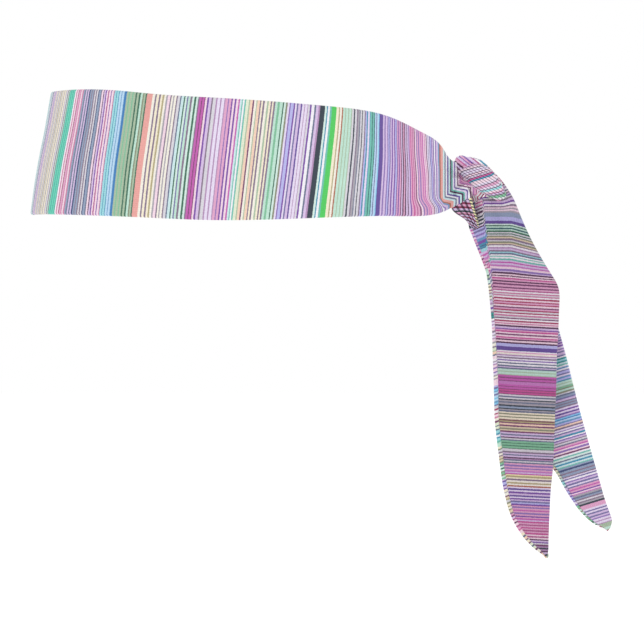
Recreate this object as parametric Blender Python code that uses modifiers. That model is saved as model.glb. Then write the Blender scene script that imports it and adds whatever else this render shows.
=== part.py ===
"""Sports tie headband: a two-ply knit strip, worn as a loop and knotted behind the head, with two free tails.

Frame: origin at the centre of the head opening, half way up the band. +Z is up the wearer's head, -Y is the
forehead, +Y the knot, +X the wearer's left. Metres in the file, millimetres in the tables below.
"""

import math

import bpy
import numpy as np

MM = 0.001

# ---- driving dimensions, in millimetres ----------------------------------------------------------------
CLOTH_T = 0.6          # one ply of knit
PLY_GAP = 1.2          # room between the plies, taken up by the turned-in seam margins and the thread
STRAP_T = 2 * CLOTH_T + PLY_GAP
THREAD_D = 0.5         # the run of lockstitch along an edge, drawn as one cord
SEAM_INSET = 3.0       # from the folded edge to the stitch line
BAND_BULGE = 0.4       # the band's outward crown over its height

KNOT_Y, KNOT_Z = 115.6, -16.2     # a point on the lower edge of the outer turn, in the middle of the knot
TURN_SLOPE = -38.7                # degrees, the outer turn runs down and back
TURN_LENGTH, TURN_DEPTH = 31.0, 24.0   # outside of the outer turn, along its slope and from left to right
TURN_HEIGHT, TURN_T = 9.5, 2.6    # width of the strap round the knot, and its gathered thickness
CORE_Y, CORE_Z = 116.4, -15.4     # middle of the gathered bundle
CORE_HALF_LENGTH, CORE_HALF_HEIGHT, CORE_HALF_DEPTH = 12.3, 10.8, 8.9   # along the outer turn's slope, across it, left to right
LOWER_TURN_R0, LOWER_TURN_T, LOWER_TURN_WIDTH = 12.0, 2.6, 9.4

TAIL_X = 8.0           # middle of each tail, left and right of the centre plane
HINGE_GAP = 2.4        # open gap at each bending line of a tail
TAIL_SEAM_INSET = 2.6
ROOT_R = 4.6           # rounded top of a tail, about its pivot

# The band's two edges, from the middle of the forehead round the wearer's left side to the knot.
# Each station is (lower edge x, y, z), (upper edge x, y, z), on the outer surface.
STATIONS = [
    ((0.0, -105.2, -29.2), (0.0, -94.6, 31.2)),
    ((34.0, -96.4, -28.8), (33.5, -85.4, 32.0)),
    ((59.5, -69.2, -29.5), (58.5, -61.2, 31.4)),
    ((67.5, -53.6, -30.1), (66.5, -45.6, 29.9)),
    ((76.8, -17.4, -31.5), (75.2, -10.6, 27.7)),
    ((76.6, 31.6, -30.6), (73.8, 38.0, 24.1)),
    ((64.5, 64.0, -29.6), (59.5, 66.0, 20.3)),
    ((56.5, 72.3, -29.6), (52.0, 73.0, 18.0)),
    ((34.0, 90.4, -29.6), (33.0, 87.7, 10.9)),
    ((17.5, 99.2, -27.1), (17.0, 97.2, 3.4)),
    ((10.6, 102.4, -25.4), (10.3, 101.6, -2.5)),
]

# A tail's outline below its pivot: (distance down the tail, offset towards the back of the head).
LEFT_PIVOT, LEFT_LEAN = (124.0, -30.5), 0.0
LEFT_FRONT = [(3.8, -6.6), (13.6, -5.9), (18.5, -5.6), (26.8, -4.4), (33.7, -4.0), (45.2, -3.0), (56.2, -2.2), (77.8, -1.2),
              (98.9, -0.8), (111.1, 0.5), (121.9, 1.9), (131.4, 3.2), (142.5, 5.6), (149.8, 8.6), (156.4, 12.7), (161.6, 17.1),
              (164.0, 20.4)]
LEFT_REAR = [(3.8, 13.0), (6.7, 14.4), (14.1, 18.1), (22.2, 22.7), (28.8, 26.9), (32.5, 29.2), (35.7, 29.9), (39.6, 30.1),
             (45.5, 29.9), (55.7, 29.7), (69.5, 28.9), (83.2, 28.8), (98.9, 28.2), (104.3, 28.0), (121.9, 27.4), (134.4, 26.1),
             (144.4, 25.6), (154.2, 25.2), (164.0, 25.2)]
LEFT_TIP = [(165.2, 23.4)]
LEFT_CUTS = (13.2, 65.0, 117.0)

RIGHT_PIVOT, RIGHT_LEAN = (117.6, -31.5), 16.5
RIGHT_FRONT = [(4.0, -7.4), (15.6, -6.2), (24.5, -6.2), (36.5, -7.2), (56.5, -8.7), (71.5, -9.7), (86.5, -10.2), (101.5, -9.7),
               (113.5, -6.7), (126.1, -1.8), (131.1, -0.2), (139.0, 1.3), (149.4, 4.4), (155.8, 7.6), (160.5, 11.0), (161.6, 12.6)]
RIGHT_REAR = [(4.0, 7.0), (10.0, 9.6), (20.0, 13.2), (35.0, 17.0), (50.0, 18.8), (63.0, 19.0), (77.4, 18.7), (90.6, 18.1),
              (105.0, 17.7), (125.2, 17.5), (147.6, 17.4), (154.4, 18.0), (160.8, 18.4), (161.6, 18.0)]
RIGHT_TIP = [(162.7, 15.4)]
RIGHT_CUTS = (13.2, 64.0, 115.0)


# ---- helpers ---------------------------------------------------------------------------------------------
for leftover in list(bpy.data.objects):
    bpy.data.objects.remove(leftover)

headband = bpy.data.collections.new("tie_headband")
bpy.context.scene.collection.children.link(headband)


def material(name, colour, roughness=0.8, metallic=0.0):
    made = bpy.data.materials.new(name)
    made.use_nodes = True
    shader = made.node_tree.nodes["Principled BSDF"]
    shader.inputs["Base Color"].default_value = (*colour, 1.0)
    shader.inputs["Roughness"].default_value = roughness
    shader.inputs["Metallic"].default_value = metallic
    return made


def cubic(knots, values, at):
    """Natural cubic spline through values at knots, read at each number of at."""
    x, y, at = np.asarray(knots, float), np.asarray(values, float), np.asarray(at, float)
    y = y.reshape(len(x), -1)
    h = np.diff(x)
    n = len(x)
    a, b = np.zeros((n, n)), np.zeros((n, y.shape[1]))
    a[0, 0] = a[-1, -1] = 1.0
    for i in range(1, n - 1):
        a[i, i - 1], a[i, i], a[i, i + 1] = h[i - 1], 2 * (h[i - 1] + h[i]), h[i]
        b[i] = 6 * ((y[i + 1] - y[i]) / h[i] - (y[i] - y[i - 1]) / h[i - 1])
    m = np.linalg.solve(a, b)
    i = np.clip(np.searchsorted(x, at) - 1, 0, n - 2)
    left, right, w = (x[i + 1] - at)[:, None], (at - x[i])[:, None], h[i][:, None]
    return (
        m[i] * left**3 / (6 * w)
        + m[i + 1] * right**3 / (6 * w)
        + (y[i] / w - m[i] * w / 6) * left
        + (y[i + 1] / w - m[i + 1] * w / 6) * right
    )


def place(obj, location=(0, 0, 0), rotation=(0, 0, 0), parent=None):
    obj.location = [c * MM for c in location]
    obj.rotation_euler = rotation
    obj.parent = parent
    headband.objects.link(obj)
    return obj


def pivot(name, location, rotation=(0, 0, 0), parent=None):
    """An empty on a joint's axis."""
    return place(bpy.data.objects.new(name, None), location, rotation, parent)


def sheet(name, grid, thickness, look, parent=None, location=(0, 0, 0)):
    """A ply or strap lofted through a grid of points (rows x columns x 3, in mm), thickened evenly to both sides."""
    rows, columns = grid.shape[:2]
    points = [tuple(p * MM) for p in grid.reshape(-1, 3)]
    faces = [
        (r * columns + c, r * columns + c + 1, (r + 1) * columns + c + 1, (r + 1) * columns + c)
        for r in range(rows - 1)
        for c in range(columns - 1)
    ]
    mesh = bpy.data.meshes.new(name)
    mesh.from_pydata(points, [], faces)
    mesh.materials.append(look)
    mesh.shade_smooth()
    obj = place(bpy.data.objects.new(name, mesh), location, parent=parent)
    solid = obj.modifiers.new("ply", "SOLIDIFY")
    solid.thickness = thickness * MM
    solid.offset = 0.0
    return obj


def thread(name, points, look, parent=None, diameter=THREAD_D):
    """A run of stitches along points, in mm."""
    curve = bpy.data.curves.new(name, "CURVE")
    curve.dimensions = "3D"
    spline = curve.splines.new("POLY")
    spline.points.add(len(points) - 1)
    for spot, p in zip(spline.points, points):
        spot.co = (*(float(c) * MM for c in p), 1.0)
    curve.bevel_depth = diameter / 2 * MM
    curve.bevel_resolution = 1
    curve.use_fill_caps = True
    curve.materials.append(look)
    return place(bpy.data.objects.new(name, curve), parent=parent)


def plate(name, outline, x, thickness, look, parent=None):
    """A flat ply cut to an outline of (offset to the back, height) points in mm, lying across the X axis at x."""
    curve = bpy.data.curves.new(name, "CURVE")
    curve.dimensions = "2D"
    curve.fill_mode = "BOTH"
    spline = curve.splines.new("POLY")
    spline.points.add(len(outline) - 1)
    for spot, (back, up) in zip(spline.points, outline):
        spot.co = (back * MM, up * MM, 0.0, 1.0)
    spline.use_cyclic_u = True
    curve.extrude = thickness / 2 * MM
    curve.materials.append(look)
    # The curve's own X runs to the back of the head, its Y up, and its Z to the wearer's left.
    return place(bpy.data.objects.new(name, curve), (x, 0, 0), (math.pi / 2, 0, math.pi / 2), parent)


# ---- the strap's surface ---------------------------------------------------------------------------------
def band_edges():
    """Spline knots and both edges for the whole loop, from the right of the knot round the forehead to the left."""
    lower = np.array([s[0] for s in STATIONS])
    upper = np.array([s[1] for s in STATIONS])
    step = (np.linalg.norm(np.diff(lower, axis=0), axis=1) + np.linalg.norm(np.diff(upper, axis=0), axis=1)) / 2
    along = np.concatenate([[0], np.cumsum(step)])
    flip = np.array([-1, 1, 1])
    return (
        np.concatenate([-along[:0:-1], along]),
        np.concatenate([lower[:0:-1] * flip, lower]),
        np.concatenate([upper[:0:-1] * flip, upper]),
    )


KNOTS, LOWER, UPPER = band_edges()


def band_point(s, v):
    """The outer surface at distance s from the forehead's middle, v from 0 at the lower edge to 1 at the upper."""
    s, v = np.asarray(s, float), np.asarray(v, float)[..., None]
    low = cubic(KNOTS, LOWER, s.ravel()).reshape(*s.shape, 3)
    high = cubic(KNOTS, UPPER, s.ravel()).reshape(*s.shape, 3)
    flat = low * (1 - v) + high * v
    out = flat * [1, 1, 0]
    out /= np.maximum(np.linalg.norm(out, axis=-1, keepdims=True), 1e-9)
    fade = np.clip((KNOTS[-1] - np.abs(s)) / 60.0, 0, 1)[..., None]
    return flat + out * BAND_BULGE * 4 * v * (1 - v) * fade


def band_grid(s_values, v_values, depth):
    """Points at depth below the outer surface."""
    s, v = np.meshgrid(s_values, v_values, indexing="ij")
    e = 1e-3
    ds = band_point(np.clip(s + e, KNOTS[0], KNOTS[-1]), v) - band_point(np.clip(s - e, KNOTS[0], KNOTS[-1]), v)
    dv = band_point(s, v + e) - band_point(s, v - e)
    normal = np.cross(ds, dv)
    normal /= np.linalg.norm(normal, axis=-1, keepdims=True)
    return band_point(s, v) - normal * depth


cloth = material("printed_knit", (0.62, 0.52, 0.66), 0.85)
lining = material("lining_knit", (0.80, 0.74, 0.82), 0.9)
stitch = material("seam_thread", (0.85, 0.83, 0.86), 0.7)
knotted = material("knotted_knit", (0.55, 0.46, 0.60), 0.85)

columns = np.linspace(KNOTS[0], KNOTS[-1], 53)
rows = np.linspace(0, 1, 5)
sheet("band_outer_panel", band_grid(columns, rows, CLOTH_T / 2), CLOTH_T, cloth)
sheet("band_lining_panel", band_grid(columns, rows, STRAP_T - CLOTH_T / 2), CLOTH_T, lining)
stitched = np.linspace(KNOTS[0] + 3, KNOTS[-1] - 3, 55)
for edge, side in (("lower", 0), ("upper", 1)):
    width = np.linalg.norm(band_point(stitched, np.ones(55)) - band_point(stitched, np.zeros(55)), axis=-1)
    share = SEAM_INSET / width
    v = share if side == 0 else 1 - share
    line = np.array([band_grid([s], [h], STRAP_T / 2)[0, 0] for s, h in zip(stitched, v)])
    thread(f"band_{edge}_seam_thread", line, stitch)

# ---- the knot --------------------------------------------------------------------------------------------
slope = math.radians(TURN_SLOPE)
down = np.array([0.0, math.cos(slope), math.sin(slope)])     # along the outer turn, down and back
across = np.array([0.0, -math.sin(slope), math.cos(slope)])  # over its width
left = np.array([1.0, 0.0, 0.0])

middle = np.array([0.0, KNOT_Y, KNOT_Z]) + across * (TURN_HEIGHT / 2 - 0.25)
around = np.linspace(0, 2 * math.pi, 41)[:-1]


def turn_section():
    """The gathered strap's section, (outwards, along the turn's axis), with rounded edges."""
    half_t, half_h = TURN_T / 2, TURN_HEIGHT / 2
    section = []
    for k in range(4):
        corner = (half_t - 1.2) * (1 if k in (0, 3) else -1), (half_h - 1.2) * (1 if k in (0, 1) else -1)
        for j in range(3):
            angle = math.radians(90 * k + 45 * j)
            section.append((corner[0] + 1.2 * math.cos(angle), corner[1] + 1.2 * math.sin(angle)))
    return section


def ring(name, look):
    """The outer turn: the strap's section carried round an oval about the knot, a loft between unlike sections."""
    section = turn_section()
    points, faces = [], []
    for a in around:
        spot = down * (TURN_LENGTH - TURN_T) / 2 * math.cos(a) + left * (TURN_DEPTH - TURN_T) / 2 * math.sin(a)
        tangent = -down * (TURN_LENGTH - TURN_T) / 2 * math.sin(a) + left * (TURN_DEPTH - TURN_T) / 2 * math.cos(a)
        out = np.cross(tangent, across)
        out /= np.linalg.norm(out)
        for o, n in section:
            points.append(tuple((middle + spot + out * o + across * n) * MM))
    count, size = len(around), len(section)
    for i in range(count):
        for j in range(size):
            faces.append((i * size + j, ((i + 1) % count) * size + j, ((i + 1) % count) * size + (j + 1) % size, i * size + (j + 1) % size))
    mesh = bpy.data.meshes.new(name)
    mesh.from_pydata(points, [], faces)
    mesh.materials.append(look)
    mesh.shade_smooth()
    return place(bpy.data.objects.new(name, mesh))


ring("knot_outer_turn", knotted)

bpy.ops.mesh.primitive_uv_sphere_add(segments=28, ring_count=16, radius=MM)
core = bpy.context.object
core.name = core.data.name = "knot_inner_bundle"
bundle_axes = [CORE_HALF_DEPTH * left, CORE_HALF_LENGTH * down, CORE_HALF_HEIGHT * across]
for vertex in core.data.vertices:
    vertex.co = sum(c * a for c, a in zip(vertex.co, bundle_axes)) + np.array([0.0, CORE_Y, CORE_Z]) * MM
core.data.materials.append(knotted)
core.data.shade_smooth()
for holder in list(core.users_collection):
    holder.objects.unlink(core)
headband.objects.link(core)

arc = np.radians(np.linspace(198, 288, 15))
wide = np.linspace(-LOWER_TURN_WIDTH / 2, LOWER_TURN_WIDTH / 2, 5)
radius = LOWER_TURN_R0 + LOWER_TURN_T / 2
lower_turn = np.array([[(x, CORE_Y + radius * math.cos(a), CORE_Z + radius * math.sin(a)) for x in wide] for a in arc])
sheet("knot_lower_turn", lower_turn, LOWER_TURN_T, knotted)


# ---- the tails -------------------------------------------------------------------------------------------
def edge_at(table, s):
    s0 = [p[0] for p in table]
    return np.interp(s, s0, [p[1] for p in table])


def tail(side, sign, pivot_yz, lean, front, rear, tip, cuts):
    """One tail as four short lengths on pivots: swing at the knot, then three bending lines across the strip."""
    x_outer = sign * (PLY_GAP / 2 + CLOTH_T / 2)
    swing = pivot(f"{side}_tail_swing_axis", (sign * TAIL_X, pivot_yz[0], pivot_yz[1]), (math.radians(lean), 0, 0))
    half = HINGE_GAP / 2
    end = front[-1][0]

    # the short length at the knot: a round top about the pivot, widening to the first bending line
    s1 = cuts[0] - half
    arc = [math.radians(d) for d in range(-20, 201, 20)]
    outline = [(ROOT_R * math.cos(a), ROOT_R * math.sin(a)) for a in arc]
    outline += [(edge_at(front, s1) + 0.4, -s1), (min(edge_at(rear, s1), 15.0) - 0.4, -s1)]
    plate(f"{side}_tail_root_outer_panel", outline, x_outer, CLOTH_T, cloth, swing)
    plate(f"{side}_tail_root_lining_panel", outline, -x_outer, CLOTH_T, lining, swing)

    parent, origin = swing, 0.0
    for name, start, stop in (("upper", cuts[0], cuts[1]), ("lower", cuts[1], cuts[2]), ("tip", cuts[2], end)):
        hinge = pivot(f"{side}_tail_{name}_bend_axis", (0, 0, -(start - origin)), parent=parent)
        last = name == "tip"
        s = np.linspace(start + half, end if last else stop - half, 9 if not last else 12)
        f, r = edge_at(front, s), edge_at(rear, s)
        outline = [(b, -(d - start)) for d, b in zip(s, f)]
        if last:
            outline += [(b, -(d - start)) for d, b in tip]
        outline += [(b, -(d - start)) for d, b in zip(s[::-1], r[::-1])]
        plate(f"{side}_tail_{name}_outer_panel", outline, x_outer, CLOTH_T, cloth, hinge)
        plate(f"{side}_tail_{name}_lining_panel", outline, -x_outer, CLOTH_T, lining, hinge)
        if last:
            s = np.linspace(start + half + 1.5, end - 7.0, 12)
            fore = [(0, edge_at(front, d) + TAIL_SEAM_INSET, -(d - start)) for d in s]
            back = [(0, edge_at(rear, d) - TAIL_SEAM_INSET, -(d - start)) for d in s]
            bottom = (0, edge_at(rear, end) - 3.6, -(end - start) + 2.9)
            thread(f"{side}_tail_tip_seam_thread", fore + [bottom] + back[::-1], stitch, hinge)
        else:
            s = np.linspace(start + half + 1.5, stop - half - 1.5, 8)
            for edge, table, inset in (("front", front, TAIL_SEAM_INSET), ("rear", rear, -TAIL_SEAM_INSET)):
                thread(f"{side}_tail_{name}_{edge}_seam_thread", [(0, edge_at(table, d) + inset, -(d - start)) for d in s], stitch, hinge)
        parent, origin = hinge, start


tail("left", 1, LEFT_PIVOT, LEFT_LEAN, LEFT_FRONT, LEFT_REAR, LEFT_TIP, LEFT_CUTS)
tail("right", -1, RIGHT_PIVOT, RIGHT_LEAN, RIGHT_FRONT, RIGHT_REAR, RIGHT_TIP, RIGHT_CUTS)
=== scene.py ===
"""Looks of the tie headband: two plies of printed knit, gathered into a knot behind the head, with two hanging tails.

Lengths in the tables are millimetres in the frame's axes: +X the wearer's left, +Y the back of the head, +Z up.
The print is a multicoloured stripe. It is laid out as runs of one mood of colour and single bars of one dye, in
millimetres of strip, and the stripes inside each run are drawn from a seeded generator.
"""

import math
import random

import bmesh
import bpy
import numpy as np
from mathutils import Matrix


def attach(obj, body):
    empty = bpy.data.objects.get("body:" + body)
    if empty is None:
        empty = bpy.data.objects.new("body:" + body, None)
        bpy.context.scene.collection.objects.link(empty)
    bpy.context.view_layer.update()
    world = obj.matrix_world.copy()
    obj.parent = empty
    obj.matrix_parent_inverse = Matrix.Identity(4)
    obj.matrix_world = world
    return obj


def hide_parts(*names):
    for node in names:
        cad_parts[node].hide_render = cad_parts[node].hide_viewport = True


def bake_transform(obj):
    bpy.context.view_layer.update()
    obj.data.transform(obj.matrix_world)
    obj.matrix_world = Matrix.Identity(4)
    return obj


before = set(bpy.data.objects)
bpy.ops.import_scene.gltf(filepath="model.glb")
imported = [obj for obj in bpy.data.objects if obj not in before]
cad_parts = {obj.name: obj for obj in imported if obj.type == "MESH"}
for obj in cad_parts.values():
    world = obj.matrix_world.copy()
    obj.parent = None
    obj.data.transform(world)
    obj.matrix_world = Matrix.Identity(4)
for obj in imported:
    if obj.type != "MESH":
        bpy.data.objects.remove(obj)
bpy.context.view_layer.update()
MM = 0.001

# ---- colours of the print, as sRGB ------------------------------------------------------------------------
DYE = dict(
    white="#f2f0f4", ivory="#f2eee0", cream="#f3ead0", sand="#ddcdb0", khaki="#b4aa82", olive="#8c9078", straw="#f0e6b0",
    peach="#f2d2ba", salmon="#e08f80", coral="#e8a69e", rust="#ae6850", brown="#835c60", blush="#f2d8e4", pink="#e0a8c8", rose="#cc82a4",
    crimson="#ac4668", maroon="#8c3458", raspberry="#b26090", hotpink="#c65a98", magenta="#c464b0", orchid="#c680c0",
    plum="#7c4a70", darkplum="#5c3a58", mauve="#b492b8", lilac="#d6c0e2", mist="#e6dcf0", violet="#9076b6", purple="#7e54a6",
    indigo="#6a549c", dusk="#7a76a4", periwinkle="#babaea", navy="#46527a", ink="#3e4852", slate="#6e7890", storm="#94a4bc",
    grey="#aaa6ae", pearl="#d8d6dc", taupe="#8a7a8e", sky="#86c8ea", haze="#badaf0", blue="#4480bc", steel="#6e9cc4",
    jade="#68d6b6", lake="#4894b0", teal="#3c9a98", fern="#74c0b0", aqua="#a0dae0", ice="#ccE8e8", mint="#c0e4d2", frost="#d4ece2",
    sage="#aac0a4", leaf="#84c09c", moss="#48745f", pine="#40686e", lime="#b6dc82", spring="#58cc64", cress="#e2ead0",
)

# A mood is the dyes of its pale stripes, then the dyes of the strong stripes between them.
MOODS = dict(
    stone=("cream ivory pearl sand mint", "olive grey taupe khaki plum"),
    heather=("white lilac pearl blush", "mauve taupe purple slate"),
    lagoon=("frost aqua ice white", "teal lake slate fern"),
    roses=("blush pink white pearl", "crimson maroon rose plum raspberry"),
    slates=("storm pearl storm lilac", "navy slate dusk taupe"),
    orchids=("pink lilac blush pink", "violet magenta orchid plum purple"),
    skies=("haze sky haze periwinkle", "sky blue steel dusk"),
    meadow=("mint frost sage leaf", "leaf slate moss olive"),
    brick=("peach blush salmon pearl", "rust crimson brown taupe"),
    straws=("straw cream ivory", "rust khaki taupe"),
    petal=("blush mist white ivory blush", "mauve taupe grey pink violet"),
    grove=("mint frost ice pearl", "moss dusk slate taupe"),
    garden=("cress ivory cream peach", "plum slate sage taupe"),
    dusks=("lilac periwinkle mist lilac", "indigo violet dusk purple"),
    berry=("pink blush lilac pink", "raspberry plum hotpink purple darkplum"),
    reed=("khaki pearl sand pearl", "olive moss taupe brown"),
    earth=("khaki sand cream peach", "brown ink plum olive"),
    shade=("lilac pearl mauve", "plum slate ink darkplum"),
    pale=("mist periwinkle lilac white mist", "steel dusk lake violet"),
    checks=("pink lilac blush lilac", "ink navy darkplum maroon"),
    inked=("pearl mist cress", "ink darkplum"),
    twill=("blush pink lilac blush mist", "mauve plum taupe violet"),
    stairs=("lilac white mist ice", "plum indigo slate darkplum"),
    fields=("mint frost mint", "moss pine"),
    ash=("pearl storm grey pearl", "slate ink taupe"),
)


# the thin lines ruled in a plain bar
RULED = dict(
    teal="pine", sky="steel", haze="steel", magenta="plum", mist="mauve", lime="leaf", mint="sage", fern="pine", pink="rose",
    periwinkle="dusk", peach="taupe", leaf="moss", khaki="olive", frost="slate", sage="slate", lake="navy", aqua="lake", straw="khaki",
    hotpink="plum", storm="slate", jade="teal",
)


def linear(code):
    """A #rrggbb dye as linear light, for a shader."""
    out = []
    for i in (1, 3, 5):
        c = int(code[i : i + 2], 16) / 255
        out.append(c / 12.92 if c <= 0.04045 else ((c + 0.055) / 1.055) ** 2.4)
    return (*out, 1.0)


def stripes(seed, start, plan, pitch=1.73, pale_share=(0.50, 0.70)):
    """A strip's print as [(start in mm, dye), ...]. plan is '12 rose, 2 magenta, ...': so many mm of a mood, whose pale
    and strong stripes take turns about pitch mm apart, or one plain bar where the name is a dye's."""
    pick, at, found, last = random.Random(seed), float(start), [], None
    for item in plan.split(","):
        length, name = item.split()
        stop = at + float(length)
        if name in DYE:
            # a plain bar keeps the knit's ruling: a thin line of its darker neighbour in each cycle
            cycles = max(1, round(float(length) / pitch))
            for k in range(cycles):
                begin = at + (stop - at) * k / cycles
                found.append((begin, name))
                if name in RULED and cycles > 1:
                    found.append((begin + (stop - at) / cycles * 0.72, RULED[name]))
            last, at = name, stop
            continue
        pale, strong = (words.split() for words in MOODS[name])
        cycles = max(1, round(float(length) / pitch))
        for k in range(cycles):
            step = (stop - at) / (cycles - k) * pick.uniform(0.86, 1.14) if k < cycles - 1 else stop - at
            share = pick.uniform(*pale_share)
            for dyes, begin in ((pale, at), (strong, at + step * share)):
                last = pick.choice([d for d in dyes if d != last] or dyes)
                found.append((begin, last))
            at += step
        at = stop
    return found


def unseen(seed, start, stop, moods="petal berry slates meadow dusks garden roses lagoon orchids stone skies heather"):
    """The same kind of print for a side that is out of sight: runs of 5 to 12 mm, each of a mood."""
    pick, at, plan, moods = random.Random(seed), start, [], moods.split()
    while at < stop:
        length = pick.choice((5, 6, 8, 10, 12))
        plan.append(f"{length} {pick.choice(moods)}")
        if pick.random() < 0.3:
            plan.append(f"{pick.choice((1.5, 2, 3))} {pick.choice(('sky', 'magenta', 'mint', 'straw', 'ink', 'teal', 'blush'))}")
            length += 2
        at += length
    return stripes(seed + 1, start, ", ".join(plan))


# The band from the middle of the forehead round the wearer's left side to the knot.
BAND_PLAN = (
    "20 heather, 16 stone, 5 jade, 7 roses, 13 slates, 8 berry, 3 aqua, 3 haze, 1 blue, 11 meadow, 3 coral, 6 straws, 7 petal, 11 grove, "
    "3 magenta, 6 heather, 4 mist, 7 orchids, 3 lagoon, 14 garden, 6 meadow, 7 dusks, 3 mist, 6 heather, 2.5 ink, 3.5 lagoon, 2.5 spring, "
    "3.5 straws, 5 mint, 8 ash, 3 pale, 3 fern, 3 skies, 2.5 indigo, 11 dusks, 15 berry, 11 orchids, 7 dusks, 4 pale, 0.9 rust, 1.6 coral, "
    "6 stairs, 1 fern, 3.8 stairs, 3.5 orchids, 8 roses, 30 petal"
)
# The left tail from behind the knot down to its point, and the right tail the same way.
LEFT_PLAN = (
    "12 berry, 9 heather, 4 petal, 2 storm, 2 periwinkle, 1.5 indigo, 4 fields, 6.5 reed, 3 heather, 4 lagoon, 3 orchids, 2 petal, 6.5 berry, "
    "19 roses, 9.5 berry, 1.5 periwinkle, 2 indigo, 5 petal, 4 stairs, 3 mint, 3 magenta, 1.5 orchid, 2.5 magenta, 2.5 hotpink, 8.5 ash, 10 earth, 4 shade, 4 leaf, "
    "2 ash, 5 shade, 5.5 orchids, 6 straws, 9 dusks, 7 orchids, 11 berry, 24 shade"
)
RIGHT_PLAN = (
    "17 orchids, 10 grove, 12 lagoon, 12 dusks, 14 meadow, 12 heather, 10 pale, 10 dusks, 4.5 lagoon, 7.5 pale, 2.5 mint, 3 meadow, 7 slates, "
    "4.5 dusks, 4 skies, 1.5 brick, 5.5 pale, 2.5 slates, 4.5 orchids, 6 lagoon, 5 slates, 5.5 pale, 4 orchids, 6 ash, 2 pink, 6 dusks, "
    "3 mist, 2 sage, 14 mint"
)
# The turned-over length beside each crease.
TURNED_PLAN = "24 berry, 10 inked, 3.7 dusks, 2.5 pale, 1.5 purple, 2.6 lake, 1.6 aqua, 4.1 orchids, 8 berry, 6 heather, 9 grove, 12 shade, 14 lagoon, 14 berry, 30 slates, 30 orchids"


# ---- printed knit -------------------------------------------------------------------------------------------
def node(tree, kind, x=0, y=0, **settings):
    made = tree.nodes.new(kind)
    made.location = (x, y)
    for key, value in settings.items():
        setattr(made, key, value)
    return made


def maths(tree, operation, a, b=None, c=None):
    made = node(tree, "ShaderNodeMath", operation=operation)
    for socket, value in zip(made.inputs, (a, b, c)):
        if value is None:
            continue
        if isinstance(value, (int, float)):
            socket.default_value = value
        else:
            tree.links.new(value, socket)
    return made.outputs[0]


def mixed(tree, factor, a, b, blend="MIX"):
    made = node(tree, "ShaderNodeMix", data_type="RGBA", blend_type=blend)
    for socket, value in ((made.inputs["Factor"], factor), (made.inputs[6], a), (made.inputs[7], b)):
        if isinstance(value, (int, float)):
            socket.default_value = value
        elif isinstance(value, tuple):
            socket.default_value = value
        else:
            tree.links.new(value, socket)
    return made.outputs[2]


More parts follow.
